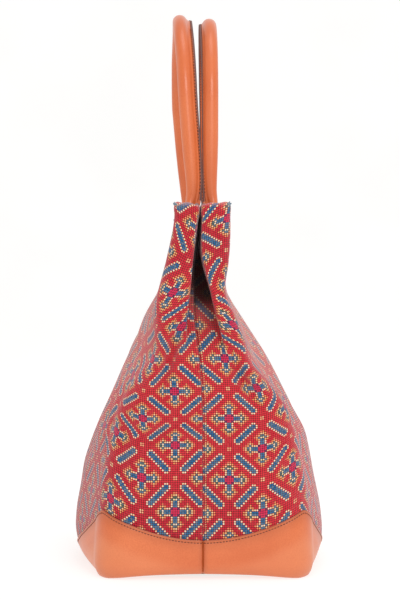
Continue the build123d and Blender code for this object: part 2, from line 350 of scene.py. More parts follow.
def level_value(table, place, z):
    """A table's value at a height, its bends eased out."""
    fine = np.arange(-10.0, 335.0, 1.0)
    heights = [row[0] for row in table][::-1]
    values = [row[place] for row in table][::-1]
    return float(np.interp(z, fine, eased(np.interp(fine, heights, values), 18, LEVEL_SPREAD)))


def end_path(table, z):
    """Half section of one end as (depth in from the end, distance from the centre plane)."""
    seam, floor, edge, ridge, recess = [level_value(table, k, z) for k in range(1, 6)]
    corner = CORNER_SHARE * ridge
    path = [(recess, seam), (recess, floor), (0.0, edge), (0.0, ridge - corner)]
    for step in range(1, CORNER_STEPS + 1):
        angle = radians(90 * step / CORNER_STEPS)
        path.append((corner * (1 - cos(angle)), ridge - corner + corner * sin(angle)))
    return path


def evenly(line, step):
    """A line's points, spaced evenly by about a step."""
    line = np.asarray(line, float)
    run = run_along(line)
    return at_marks(np.linspace(0, run[-1], int(round(run[-1] / step)) + 1), run, line)


def crease_at(nodes, place):
    """Where a crease is at a place along it, and its depth there."""
    along, centres, depths = np.array(sorted(nodes)).T
    inside = (along[0] < place) & (place < along[-1])
    return np.interp(place, along, centres), np.interp(place, along, depths) * inside


def level_line(half, z):
    """One level of a half's outer face, from the near seam to the far seam, as (along, across)."""
    front = half == "front"
    end = end_path(FRONT_END if front else BACK_END, z)
    middle = level_value(FRONT_MIDDLE if front else BACK_MIDDLE, 1, z)
    closed = min(1.0, max(0.0, (z - CLOSING_FROM) / CLOSING_RUN))
    corner, ridge = end[-1]
    reach = HALF_LENGTH - corner
    x = np.linspace(reach, -reach, 240)[1:-1]
    across = middle + (ridge - middle) * (np.abs(x) / reach) ** (2 + closed)
    for nodes, width in SIDE_FOLDS:
        centre, size = crease_at(nodes, z)
        across += size * bell(x, centre if front else -centre, width)
    line = [(HALF_LENGTH - d, w) for d, w in end] + list(zip(x, across))
    line = evenly(line + [(d - HALF_LENGTH, w) for d, w in end[::-1]], THREAD_STEP)
    for sign in (1, -1):
        at_end = np.clip((sign * line[:, 0] - (HALF_LENGTH - CREASED)) / CREASE_FADE, 0, 1)
        for nodes, width in FRONT_CREASES if front else BACK_CREASES:
            centre, depth = crease_at(nodes, z)
            line[:, 0] -= sign * at_end * depth * bell(line[:, 1], centre, width)
        for nodes, width in FRONT_CROSS_CREASES if front else BACK_CROSS_CREASES:
            centre, depth = crease_at(nodes, line[:, 1])
            line[:, 0] -= sign * at_end * depth * bell(z, centre, width)
    spread = ROUNDING_SPREAD / THREAD_STEP
    return np.stack([eased(v, 14, spread, mode="reflect", reflect_type="odd") for v in line.T], axis=1)


# Rounded edge under the bag: tighter at the corners than along the sides, width then height
CORNER_ROUND = (8.0, 14.0)
SIDE_ROUND = (19.0, 34.0)
HALF_THREADS = 516.0


def face_grid(half, columns, heights):
    """Outer face of a half's canvas: points[level, column] in millimetres, front half at -Y."""
    share = np.linspace(0, 1, columns)
    soft_share = share * share * (3 - 2 * share)
    grid = np.zeros((len(heights), columns, 3))
    for row, z in enumerate(heights):
        line = level_line(half, max(z, 4.0))
        run = run_along(line)
        x, y = at_marks(share * HALF_THREADS + (run[-1] - HALF_THREADS) * soft_share, run, line).T
        along = np.clip(np.abs(x) / (HALF_LENGTH - 20), 0, 1) ** 4
        width = SIDE_ROUND[0] + (CORNER_ROUND[0] - SIDE_ROUND[0]) * along
        height = SIDE_ROUND[1] + (CORNER_ROUND[1] - SIDE_ROUND[1]) * along
        turned = np.clip(1 - z / height, 0, 1)
        inset = width * (1 - np.sqrt(np.clip(1 - turned**2, 0, 1)))
        dx, dy = np.gradient(x), np.gradient(y)
        size = np.hypot(dx, dy) + 1e-9
        x, y = x - inset * dy / size, y + inset * dx / size
        grid[row] = np.stack([x, SIDE[half] * y, np.full(columns, float(z))], axis=1)
    return grid


def outward(grid, half):
    """Unit normals of a grid, away from the bag."""
    normal = unit(np.cross(np.gradient(grid, axis=0), np.gradient(grid, axis=1)))
    return normal if half == "front" else -normal


def new_piece(name, points, faces, turn_outwards=False):
    """A smooth piece made of points in millimetres and faces."""
    mesh = bpy.data.meshes.new(name)
    mesh.from_pydata((np.reshape(points, (-1, 3)) * MM).tolist(), [], faces)
    mesh.polygons.foreach_set("use_smooth", [True] * len(mesh.polygons))
    if turn_outwards:
        shape = bmesh.new()
        shape.from_mesh(mesh)
        bmesh.ops.recalc_face_normals(shape, faces=shape.faces)
        shape.to_mesh(mesh)
        shape.free()
    piece = bpy.data.objects.new(name, mesh)
    bpy.context.scene.collection.objects.link(piece)
    return piece


def cloth_mesh(name, grid, half, threads=None, layer_name="threads"):
    """A sheet from a grid of points, facing outwards, with its thread coordinates."""
    rows, columns = grid.shape[:2]
    index = np.arange(rows * columns).reshape(rows, columns)
    corners = [index[:-1, :-1], index[1:, :-1], index[1:, 1:], index[:-1, 1:]]
    if half == "back":
        corners = corners[::-1]
    faces = np.stack([c.ravel() for c in corners], axis=1)
    piece = new_piece(name, grid, faces.tolist())
    if threads is not None:
        layer = piece.data.uv_layers.new(name=layer_name)
        flat = threads.reshape(-1, 2)
        layer.data.foreach_set("uv", flat[faces.ravel()].ravel().astype(np.float32))
    return piece


def apply_modifier(piece, kind, **settings):
    """Adds a modifier to a piece and applies it."""
    bpy.ops.object.select_all(action="DESELECT")
    bpy.context.view_layer.objects.active = piece
    piece.select_set(True)
    added = piece.modifiers.new(kind.lower(), kind)
    for key, value in settings.items():
        setattr(added, key, value)
    bpy.ops.object.modifier_apply(modifier=added.name)


# Needlepoint finish: wool tent stitches over 13-mesh canvas, each stitch one colour.
# A red ground carries a lattice of blue-armed crosses with cream edges, and slanting blue bars.
# The thread coordinates count stitches from the first column of crosses beside the near seam, and up.
PATTERN_REPEAT = 30.0
HALF_REPEAT = PATTERN_REPEAT / 2
needlepoint = Finish(
    "needlepoint_wool",
    Roughness=0.9,
    Specular_IOR_Level=0.25,
    Sheen_Weight=0.5,
    Sheen_Roughness=0.4,
    Sheen_Tint=(1.0, 0.8, 0.84, 1.0),
)
threads = needlepoint.node("ShaderNodeUVMap", {"uv_map": "threads"})
across, upward = needlepoint.part(threads, 0), needlepoint.part(threads, 1)
stitch_x, stitch_y = across.math("FLOOR"), upward.math("FLOOR")
inside_x, inside_y = across - stitch_x, upward - stitch_y


def from_centre(place):
    """How far a stitch's middle is from the middle of its repeat, in stitches."""
    return (place + HALF_REPEAT + 0.5).math("FLOORED_MODULO", PATTERN_REPEAT) - HALF_REPEAT


# Stitches out from the nearest cross, for crosses at the middle of each repeat and at its corners
repeat_x, repeat_y = from_centre(stitch_x).math("ABSOLUTE"), from_centre(stitch_y).math("ABSOLUTE")
at_corner = (repeat_x + repeat_y) > HALF_REPEAT + 0.1
cross_x = repeat_x + at_corner * (HALF_REPEAT - 2 * repeat_x)
cross_y = repeat_y + at_corner * (HALF_REPEAT - 2 * repeat_y)
arm, aside = cross_x.math("MAXIMUM", cross_y), cross_x.math("MINIMUM", cross_y)
from_bar = HALF_REPEAT - (cross_x + cross_y)
along_bar = (cross_x - cross_y).math("ABSOLUTE")
radius = (arm * arm + aside * aside).math("SQRT")
tip = (arm - 5.5).math("ABSOLUTE") + (aside - 0.5)
dot_x, dot_y = inside_x - 0.5, inside_y - 0.5
dot_radius = (dot_x * dot_x + dot_y * dot_y).math("SQRT")
pale_dot = dot_radius.ramp(0.47, 0.27)
small_dot = dot_radius.ramp(0.4, 0.18)

in_bar = (from_bar < 1.5) * (along_bar < 8.4)
bar_edge = (from_bar < 2.5) * (along_bar < 9.4) * pale_dot
in_dot = (arm > HALF_REPEAT - 1.1) * (aside < 1.0) * pale_dot
on_arm = (aside < 1.0) * (arm < 5.0)
arm_edge = (aside < 2.0) * (arm < 4.0) * pale_dot
outer_edge = (tip < 3.5) * (arm > 3.0) * small_dot
tip_edge = (tip < 2.5) * (arm > 3.0) * pale_dot
in_tip = tip < 1.5
pale_pair = (aside < 1.0) * (arm > 5.0) * (arm < 6.0) * pale_dot
in_ring = radius < 2.3
in_middle = radius < 1.8

speck = needlepoint.node("ShaderNodeCombineXYZ", {}, stitch_x, stitch_y)
chance = needlepoint.node("ShaderNodeTexWhiteNoise", {"noise_dimensions": "2D"}, speck)
slow = needlepoint.noise(9.0)
WOOL_RED, WOOL_DEEP_RED = colour(220, 48, 60), colour(200, 38, 56)
WOOL_BLUE, WOOL_BLUE_GREEN = colour(26, 100, 150), colour(50, 128, 154)
WOOL_CREAM, WOOL_YELLOW = colour(246, 218, 164), colour(232, 184, 106)
WOOL_WHITE, WOOL_OLIVE = colour(252, 230, 200), colour(86, 104, 92)
WOOL_SALMON = colour(244, 140, 100)
WOOL_PURPLE, WOOL_RASPBERRY = colour(92, 44, 92), colour(216, 44, 88)
wool = needlepoint.mix(slow.ramp(0.35, 0.7), WOOL_RED, WOOL_DEEP_RED)
for share, first, second in (
    (bar_edge, WOOL_WHITE, WOOL_CREAM),
    (in_bar, WOOL_BLUE, WOOL_BLUE_GREEN),
    (in_dot, WOOL_SALMON, WOOL_CREAM),
    (outer_edge, WOOL_YELLOW, WOOL_SALMON),
    (tip_edge, WOOL_CREAM, WOOL_YELLOW),
    (arm_edge, WOOL_CREAM, WOOL_WHITE),
    (in_tip, WOOL_OLIVE, WOOL_BLUE_GREEN),
    (on_arm, WOOL_BLUE, WOOL_BLUE_GREEN),
    (pale_pair, WOOL_CREAM, WOOL_WHITE),
    (in_ring, WOOL_PURPLE, WOOL_PURPLE),
    (in_middle, WOOL_RASPBERRY, WOOL_RASPBERRY),
):
    wool = needlepoint.mix(share, wool, needlepoint.mix(chance, first, second))
# Tent stitch: a short slanting roll of wool with canvas holes at its sides
cross_slant = (inside_x - inside_y).math("ABSOLUTE")
roll = (1.0 - cross_slant * cross_slant).math("MAXIMUM", 0.0).math("SQRT")
ends = (inside_x + inside_y - 1.0).math("ABSOLUTE")
stitch_height = roll * ends.ramp(0.95, 0.35)
# The canvas holes between the stitches are darkened: painted shade in the gaps
hole = dot_radius.ramp(0.28, 0.58)
shaded = needlepoint.mix(hole * 0.95, wool, needlepoint.mix(0.8, wool, colour(44, 6, 16)))
# A few random stitches are worn paler; painted sheen, a painted highlight and painted shade are mixed into
# the same colour below
wear_and_painted_light = needlepoint.mix(chance * 0.1, shaded, colour(240, 120, 112))
# Painted sheen: the broad sides are painted paler than the ends, more so higher up, for grazing light on the
# wool's fuzz; the top of the rolled hem gets a painted highlight
end_distance = needlepoint.part(needlepoint.places(), 0).math("ABSOLUTE")
height = needlepoint.part(needlepoint.places(), 2)
painted_side_sheen = 0.04 + slow.ramp(0.3, 0.7) * 0.06 + height.ramp(0.1, 0.22) * 0.24
wear_and_painted_light = needlepoint.mix(end_distance.ramp(0.162, 0.11) * painted_side_sheen, wear_and_painted_light, colour(252, 196, 186))
# Painted highlight along the top of the rolled hem
wear_and_painted_light = needlepoint.mix(height.ramp(0.3195, 0.324) * 0.34, wear_and_painted_light, colour(250, 178, 168))
# Painted shade: the wool deep in the tucks is painted dark, where shade falls
from_side_middle = (across - 120.0).math("ABSOLUTE")
tuck_shade_mask = end_distance.ramp(0.147, 0.129) * from_side_middle.ramp(111.0, 116.0)
wear_and_painted_light = needlepoint.mix(tuck_shade_mask * height.ramp(0.225, 0.24) * 0.88, wear_and_painted_light, colour(34, 12, 18))
relief = stitch_height + needlepoint.noise(1800.0, 2.0) * 0.35
needlepoint.set(Base_Color=wear_and_painted_light, Normal=needlepoint.bump(relief, 0.0006, 0.8))

# Canvas halves: a sheet of the stitched canvas each, turned in at the rim as a thick rounded hem.
# They are sewn to each other down the middle of both ends.
COLUMNS, ROWS = 216, 124
CANVAS_LOW = 13.0
HEM_ROLL, HEM_TURN = 2.5, 14.0
SEAM_DIP, SEAM_WIDTH = 0.9, 1.3
FIRST_CROSS = {"front": 12.3, "back": 11.6}
# Heights of the rows of crosses beside the near seam: folds and leaning cloth draw them together
CROSS_ROWS = {
    "front": ((58.4, 0), (116.4, 1), (138.0, 1.5), (161.4, 2), (217.0, 3), (247.1, 3.5), (303.4, 4.5)),
    "back": ((86.1, 0), (138.5, 1), (189.7, 2), (247.0, 3), (301.4, 4)),
}
ROWS_RISE, ROWS_RISE_START, ROWS_RISE_RUN = 6.5, 48.0, 24.0
# The rows follow those heights near the seam, and the cloth's own length from here on
ROWS_FREE, ROWS_BLEND = 115, 45
RIM_SAG, SAG_PLACE, SAG_WIDTH, SAG_FROM = {"front": 6.4, "back": 3.4}, 46, 15, 180
HEM_SWELL, HEM_SWELL_HEIGHT, HEM_SWELL_RUN = 0.9, 4.5, 40
HEM_STEPS, HEM_DROPS = 6, (3.5, 7.0, 10.5, HEM_TURN)
# Slow waves of the cloth: how far out, their length along and up over two pi, and where they start
CLOTH_WAVES = ((0.5, 17, 23, 0.0), (0.4, 29, -13, 1.0), (0.35, 11, 41, 2.5))
WAVE_START = {"front": 0.0, "back": 2.1}
SEAM_CALM = 12
body_grids = {}
for half in ("front", "back"):
    heights = np.linspace(CANVAS_LOW, RIM - HEM_ROLL, ROWS)
    grid = face_grid(half, COLUMNS, heights)
    share = np.linspace(0, 1, COLUMNS)
    seam_run = np.minimum(share, 1 - share) * HALF_THREADS
    # the rim sags into the tucks and waves a little along the sides
    sag = 0.6 * np.sin(share * 23 + (0 if half == "front" else 2)) + 0.45 * np.sin(seam_run / 2.4)
    sag -= RIM_SAG[half] * bell(seam_run, SAG_PLACE, SAG_WIDTH)
    rise = np.clip((heights - SAG_FROM) / (RIM - SAG_FROM), 0, 1)[:, None] ** 2
    grid[:, :, 2] += rise * sag[None, :]
    normals = outward(grid, half)
    dip = SEAM_DIP * bell(seam_run, 0, SEAM_WIDTH)
    grid[:, :, 0] -= np.sign(grid[:, :, 0]) * dip[None, :] * np.abs(normals[:, :, 0])
    # the turned hem makes the last millimetres thicker
    swollen = HEM_SWELL * bell(heights, RIM - 2 * HEM_ROLL, HEM_SWELL_HEIGHT)
    thicker = swollen[:, None] * np.clip(seam_run / HEM_SWELL_RUN, 0, 1)[None, :]
    grid += normals * thicker[:, :, None]
    # slow unevenness of the cloth, calm near the seam
    u, v = share[None, :] * HALF_THREADS, heights[:, None]
    swell = sum(
        size * np.sin(u / along + v / up + start + WAVE_START[half]) for size, along, up, start in CLOTH_WAVES
    )
    grid += normals * (swell * np.clip(seam_run / SEAM_CALM, 0, 1)[None, :])[:, :, None]
    body_grids[half] = (heights, grid.copy())
    # the hem rolls over and runs down inside
    inward = -outward(grid, half)[-1]
    inward[:, 2] = 0
    inward = unit(inward)
    roll_rows = []
    for angle in np.linspace(0, pi, HEM_STEPS + 1)[1:]:
        lift = np.array([0, 0, HEM_ROLL * sin(angle)])
        roll_rows.append(grid[-1] + inward * HEM_ROLL * (1 - cos(angle)) + lift)
    inner = grid[-1] + inward * 2 * HEM_ROLL
    for drop in HEM_DROPS:
        roll_rows.append(inner - np.array([0, 0, drop]))
    grid = np.concatenate([grid, np.array(roll_rows)])
    # thread coordinates
    steps = np.linalg.norm(np.diff(grid, axis=0), axis=2)
    climb = np.concatenate([np.zeros((1, COLUMNS)), np.cumsum(steps, axis=0)])
    row_heights, row_numbers = zip(*CROSS_ROWS[half])
    repeat = PATTERN_REPEAT * STITCH
    row_heights = (row_heights[0] - 2 * repeat, *row_heights, row_heights[-1] + repeat)
    row_numbers = (row_numbers[0] - 2, *row_numbers, row_numbers[-1] + 1)
    fine = np.arange(-60.0, 380.0)
    numbers = eased(np.interp(fine, row_heights, row_numbers), 24, 6.0, mode="reflect", reflect_type="odd")
    rows_rise = ROWS_RISE * np.clip((seam_run - ROWS_RISE_START) / ROWS_RISE_RUN, 0, 1.6) ** 1.5
    first_row = np.argmin(np.abs(heights - row_heights[1]))
    climb -= (climb[first_row] + rows_rise)[None, :]
    at_end = np.clip((ROWS_FREE - seam_run) / ROWS_BLEND, 0, 1)
    at_end = at_end * at_end * (3 - 2 * at_end)
    end_rows = np.interp(heights[:, None] - rows_rise[None, :], fine, numbers) * repeat
    past_rim = climb[ROWS:] - climb[ROWS - 1]
    end_rows = np.concatenate([end_rows, end_rows[-1] + past_rim])
    coords_v = (climb + (end_rows - climb) * at_end[None, :]) / STITCH
    u = np.broadcast_to(share[None, :] * HALF_THREADS / STITCH - FIRST_CROSS[half], climb.shape)
    coords = np.stack([u, coords_v], axis=2)
    panel = cloth_mesh(half + "_needlepoint", grid, half, coords)
    apply_modifier(panel, "SOLIDIFY", thickness=(CANVAS - 0.2) * MM, offset=-1)
    panel.data.materials.append(needlepoint.material)
    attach(panel, "bag")
    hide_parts(half + "_panel")

# Leather finish: smooth vegetable-tanned calf, satin, with a fine grain and a thin coat of wax.
# On the base, painted shade darkens it along its cut top edge and the end seams, it is darker towards the
# table, and a painted highlight makes it paler between.
def leather_finish(name, rough=0.42, edged=False):
    """Orange tan calf leather with a fine grain; edged, it gets painted shade near its edges and a painted
    highlight lower down.
    """
    made = Finish(name, Coat_Roughness=0.3, Coat_Tint=(1.0, 0.93, 0.9, 1.0))
    broad, fine = made.noise(14.0, 4.0), made.noise(900.0, 4.0)
    pores = made.node("ShaderNodeTexVoronoi", {}, Vector=made.places(), Scale=1300.0)
    tan_tone = made.mix(broad.ramp(0.3, 0.72), colour(213, 106, 58), colour(226, 122, 72))
    tone = made.mix(fine.ramp(0.35, 0.75, 0.0, 0.35), tan_tone, colour(202, 88, 44))
    if edged:
        edge_map = made.node("ShaderNodeUVMap", {"uv_map": "edges"})
        from_seam, from_edge = made.part(edge_map, 0), made.part(edge_map, 1)
        uneven = broad * 8.0 - 4.0
        # Painted shade: darker towards the top edge, and most of all on the turned edge itself
        edge_shade = (from_edge + uneven).ramp(14.0, 0.0) * 0.32 + (from_edge.ramp(1.6, 0.2) * 0.4)
        tone = made.mix(edge_shade, tone, colour(146, 64, 34))
        # Painted shade along the groove of the end seam
        tone = made.mix((from_seam + uneven * 0.3).ramp(5.0, 0.5) * 0.3, tone, colour(150, 66, 36))
        # Darker towards the table, in the lowest 14 millimetres
        low = made.part(made.places(), 2)
        tone = made.mix((low * 1000.0 + uneven).ramp(14.0, 2.0) * 0.25, tone, colour(156, 72, 42))
        # Painted highlight: paler lower down, away from the top edge
        tone = made.mix((from_edge + uneven).ramp(18.0, 30.0) * 0.2, tone, colour(246, 164, 118))
    made.shader.inputs["Coat Weight"].default_value = 0.2
    made.set(
        Base_Color=tone,
        Roughness=broad.ramp(0.25, 0.8, rough - 0.05, rough + 0.1),
        Normal=made.bump(fine * 0.6 + pores * 0.4, 0.00012, 0.6),
    )
    return made.material


calf = leather_finish("tan_calf")
base_calf = leather_finish("tan_calf_base", 0.4, edged=True)
raw_edge = Finish("painted_edge", Roughness=0.6)
raw_edge.set(Base_Color=raw_edge.mix(raw_edge.noise(400.0), colour(96, 66, 62), colour(126, 88, 80)))
thread = Finish("waxed_thread", Roughness=0.55)
thread.set(Base_Color=thread.mix(thread.noise(900.0), colour(92, 44, 30), colour(122, 60, 40)))

# Leather base: two halves cut with a scalloped top edge, skived, turned and sewn down on the canvas.
# They meet in a seam at the middle of each end and under the bag.
BASE_LEATHER, BASE_SHELL = 1.5, 1.3
EDGE_AT_SEAM, EDGE_AT_CORNER, EDGE_AT_SIDE, EDGE_POWER = 34.3, 60.3, 15.0, 1.9
CORNER_RUN = 90.0
STITCH_BELOW_EDGE, STITCH_GROOVE = 2.6, 0.35
BASE_STITCH, BASE_STITCH_LENGTH, THREAD_RADIUS = 2.7, 1.9, 0.4
END_ARCH, ARCH_START, ARCH_RUN, ARCH_HALF = 4.5, 105, 50, 82
SEAM_SINK = 1.3
# A swell and a dent at each end: how far out, then distance from the seam and height, each with its spread
BASE_SWELLS = ((0.9, 78, 16, 36, 16), (-0.8, 40, 24, 20, 12))


def scallop(run):
    """Height of the leather's edge at a distance from the near seam."""
    from_seam = np.minimum(run, HALF_THREADS - run)
    from_middle = (HALF_THREADS / 2 - from_seam) / (HALF_THREADS / 2 - CORNER_RUN)
    end_rise = np.clip(from_seam / CORNER_RUN, 0, 1) ** EDGE_POWER
    side_rise = np.clip(from_middle, 0, 1) ** EDGE_POWER
    at_end = EDGE_AT_SEAM + (EDGE_AT_CORNER - EDGE_AT_SEAM) * end_rise
    at_side = EDGE_AT_SIDE + (EDGE_AT_CORNER - EDGE_AT_SIDE) * side_rise
    return np.where(from_seam < CORNER_RUN, at_end, at_side)


def tube_faces(rings, around, first=0):
    """Faces of a closed tube: quads from ring to ring, and both ends filled."""
    faces = []
    for r in range(rings - 1):
        for k in range(around):
            a, b = first + r * around + k, first + r * around + (k + 1) % around
            faces.append((a, b, b + around, a + around))
    last = first + (rings - 1) * around
    return faces + [tuple(range(first, first + around))[::-1], tuple(range(last, last + around))]


def stitch_row(name, places, alongs, normals, length, radius, material=None):
    """A row of stitches: short rolls of thread, each at a place, lying along a direction."""
    ring, span = 6, ((-0.5, 0.35), (-0.32, 1.0), (0.0, 1.1), (0.32, 1.0), (0.5, 0.35))
    verts, faces = [], []
    for place, along, normal in zip(places, unit(alongs), normals):
        side = unit(np.cross(normal, along))
        faces += tube_faces(len(span), ring, len(verts))
        for far, wide in span:
            middle = place + along * far * length
            sunk = 0.0 if abs(far) < 0.4 else 0.65
            for k in range(ring):
                angle = 2 * pi * k / ring
                verts.append(middle + (side * cos(angle) + normal * (sin(angle) - sunk)) * radius * wide)
    piece = new_piece(name, verts, faces, turn_outwards=True)
    piece.data.materials.append(material or thread.material)
    return piece


def at_heights(values, levels, heights):
    """A grid's values at one height for each column."""
    columns = range(values.shape[1])
    return np.array([[np.interp(heights[c], levels, v) for v in values[:, c].T] for c in columns])


def arch_lift(along, across):
    """How far the leather under an end is off the table at a place."""
    near_end = np.clip((np.abs(along) - ARCH_START) / ARCH_RUN, 0, 1)
    return END_ARCH * near_end * np.clip(1 - (across / ARCH_HALF) ** 2, 0, 1)


BASE_COLUMNS = 260
# Distances below the edge: close together at the turned edge and the stitching
NEAR_EDGE = (0.0, 0.25, 0.7, 1.3, 1.9, 2.3, STITCH_BELOW_EDGE, 2.9, 3.4, 4.2, 5.5)
STITCH_LEVEL = NEAR_EDGE.index(STITCH_BELOW_EDGE)
LOWER_ROWS, LOWER_POWER = 26, 1.25
# Shares of the way from the lower edge to the middle seam
UNDER_PULLS = (0.06, 0.14, 0.3, 0.5, 0.75, 1.0)
for half in ("front", "back"):
    levels = np.concatenate([np.arange(0.0, 21.0), np.linspace(21.5, 72, 36)])
    face = face_grid(half, BASE_COLUMNS, levels)
    normals = outward(face, half)
    share = np.linspace(0, 1, BASE_COLUMNS)
    run = share * HALF_THREADS
    seam_run = np.minimum(run, HALF_THREADS - run)
    edge = eased(scallop(run), 6, 1.6, mode="reflect")
    rows = []
    for drop in NEAR_EDGE:
        turned = 0.45 * (1 - drop / NEAR_EDGE[-1]) - 0.7 * bell(drop, 0, 0.5)
        groove = STITCH_GROOVE * bell(drop, STITCH_BELOW_EDGE, 0.45)
        rows.append((edge - drop, BASE_LEATHER + turned - groove))
    for t in np.linspace(0, 1, LOWER_ROWS)[1:]:
        rows.append(((edge - NEAR_EDGE[-1]) * (1 - t) ** LOWER_POWER, BASE_LEATHER))
    grid = []
    for z, stand in rows:
        normal = unit(at_heights(normals, levels, z))
        place = np.column_stack([at_heights(face, levels, z)[:, :2], z]) + normal * stand
        place[:, 2] = np.maximum(place[:, 2], 0.0)
        grid.append(place)
    grid = np.array(grid)
    normal_low = outward(grid[::-1], half)[::-1]
    grid -= normal_low * (SEAM_SINK * bell(seam_run, 0, SEAM_SINK))[None, :, None]
    # shallow dents and swells of the blocked leather
    v = grid[:, :, 2]
    swell = 0.25 * np.sin(run[None, :] / 19 + 1) * np.sin(v / 11)
    for size, from_seam, width, up, tall in BASE_SWELLS:
        swell += size * bell(seam_run, from_seam, width)[None, :] * bell(v, up, tall)
    grid += normal_low * (swell * np.clip((edge[None, :] - v) / 12, 0, 1))[:, :, None]
    # the ends arch up a little off the table between the corners
    grid[:, :, 2] += arch_lift(grid[:, :, 0], grid[:, :, 1]) * np.clip(1 - v / 26, 0, 1)
    # under the bag to the middle seam
    last, under = grid[-1], []
    for pull in UNDER_PULLS:
        row = last.copy()
        row[:, 1] *= 1 - pull
        row[:, 0] *= 1 - 0.02 * pull
        row[:, 2] = arch_lift(row[:, 0], row[:, 1])
        under.append(row)
    grid = np.concatenate([grid, np.array(under)])
    drops = np.maximum(edge[None, :] - grid[:, :, 2], 0.0)
    edge_coords = np.stack([np.broadcast_to(seam_run[None, :], drops.shape), drops], axis=2)
    base = cloth_mesh(half + "_base_leather", grid[::-1], half, edge_coords[::-1], "edges")
    apply_modifier(base, "WELD", merge_threshold=0.00002)
    apply_modifier(base, "SOLIDIFY", thickness=BASE_SHELL * MM, offset=-1)
    base.data.materials.append(base_calf)
    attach(base, "bag")
    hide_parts(half + "_base")
    # stitches along the edge
    outs = normal_low[STITCH_LEVEL]
    line = grid[STITCH_LEVEL] + outs * 0.1
    run = run_along(line)
    marks = np.arange(2.0, run[-1] - 2.0, BASE_STITCH)
    places, alongs, outs = [at_marks(marks, run, v) for v in (line, np.gradient(line, axis=0), outs)]
    sewn = stitch_row(half + "_base_stitching", places, alongs, outs, BASE_STITCH_LENGTH, THREAD_RADIUS)
    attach(sewn, "bag")

# End seams: the two halves whipped together in cream wool, a stitch to every row of the canvas,
# from the leather up to where the seam sinks into the tucks.
SEAM_LOW, SEAM_TOP, SEAM_SLANT = 34.0, 214.0, (0.0, 0.8, 0.45)
SEAM_STITCH, SEAM_THREAD, SEAM_PROUD = 1.3, 0.3, 0.2
seam_wool = Finish("seam_wool", Roughness=0.9, Sheen_Weight=0.3)
strands = seam_wool.noise(900.0).ramp(0.4, 0.6)
seam_wool.set(Base_Color=seam_wool.mix(strands, colour(206, 150, 96), colour(240, 206, 150)))
heights, grid = body_grids["back"]
normals = outward(grid, "back")
marks = np.arange(SEAM_LOW, SEAM_TOP, STITCH)
for end_name, column in (("near", 1), ("far", -2)):
    places = at_marks(marks, heights, grid[:, column])
    outs = unit(at_marks(marks, heights, normals[:, column]))
    alongs = np.tile(SEAM_SLANT, (len(marks), 1))
    alongs -= outs * np.sum(alongs * outs, axis=1, keepdims=True)
    name = end_name + "_seam_stitching"
    places += outs * SEAM_PROUD
    sewn = stitch_row(name, places, alongs, outs, SEAM_STITCH, SEAM_THREAD, seam_wool.material)
    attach(sewn, "bag")

# Tufts: loose ends of blue wool, cut short, that stick out at the outer corners of the rim.
# Each is a handful of strands that all start in the corner.
TUFT_STRANDS, TUFT_LENGTH, TUFT_RADIUS, TUFT_DOWN = 9, 3.6, 0.42, 2.2
blue_wool = Finish("blue_wool", Roughness=0.9, Sheen_Weight=0.4)
strands = blue_wool.noise(700.0).ramp(0.4, 0.6)
blue_wool.set(Base_Color=blue_wool.mix(strands, colour(96, 120, 138), colour(150, 160, 168)))
tuft_turns = np.random.default_rng(4)
for half in ("front", "back"):
    grid = body_grids[half][1]
    for end_name, end_sign in (("near", 1), ("far", -1)):
        reach = end_sign * grid[-1, :, 0] * 0.7 + np.abs(grid[-1, :, 1]) * 0.7
        corner = grid[-1, int(np.argmax(reach))] + np.array([0, 0, HEM_ROLL - TUFT_DOWN])
        base_way = np.array([0.5 * end_sign, 0.8 * SIDE[half], 0.3])
        ways = unit(base_way + tuft_turns.normal(0, 0.45, (TUFT_STRANDS, 3)))
        places = corner + ways * TUFT_LENGTH * 0.4 + tuft_turns.normal(0, 0.5, (TUFT_STRANDS, 3))
        outs = unit(np.cross(ways, [0.2, 0.1, 1.0]))
        name = f"{half}_{end_name}_tuft"
        tuft = stitch_row(name, places, ways, outs, TUFT_LENGTH, TUFT_RADIUS, blue_wool.material)
        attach(tuft, "bag")

# Lining: plain cotton twill in two halves, sewn as a loose bag inside the canvas.
# Its top edge is caught under the turned hem.
LINING_DEPTH, LINING_THICK, LINING_TOP, LINING_FLOOR = 3.4, 0.6, RIM - 12.0, 5.0
LINING_EVERY, LINING_COLUMNS, LINING_OFF_TUCK, LINING_SQUARE = 3, 90, 5.0, 14
twill = Finish("lining_twill", Roughness=0.9, Sheen_Weight=0.2)
diagonal = {"wave_type": "BANDS", "bands_direction": "DIAGONAL"}
twill_rib = twill.node("ShaderNodeTexWave", diagonal, Vector=twill.places(), Scale=700.0)
twill_tone = twill.mix(twill.noise(30.0).ramp(0.3, 0.7), colour(176, 142, 104), colour(192, 158, 118))
twill.set(
    Base_Color=twill.mix(twill_rib * 0.25, twill_tone, colour(150, 116, 82)),
    Normal=twill.bump(twill_rib, 0.0002, 0.5),
)


def side_columns(half, row):
    """The points of a level between its two outer ridges, in order of place along the bag."""
    line = body_grids[half][1][row]
    return line[np.argmax(line[:, 0]):np.argmin(line[:, 0]) + 1][::-1]


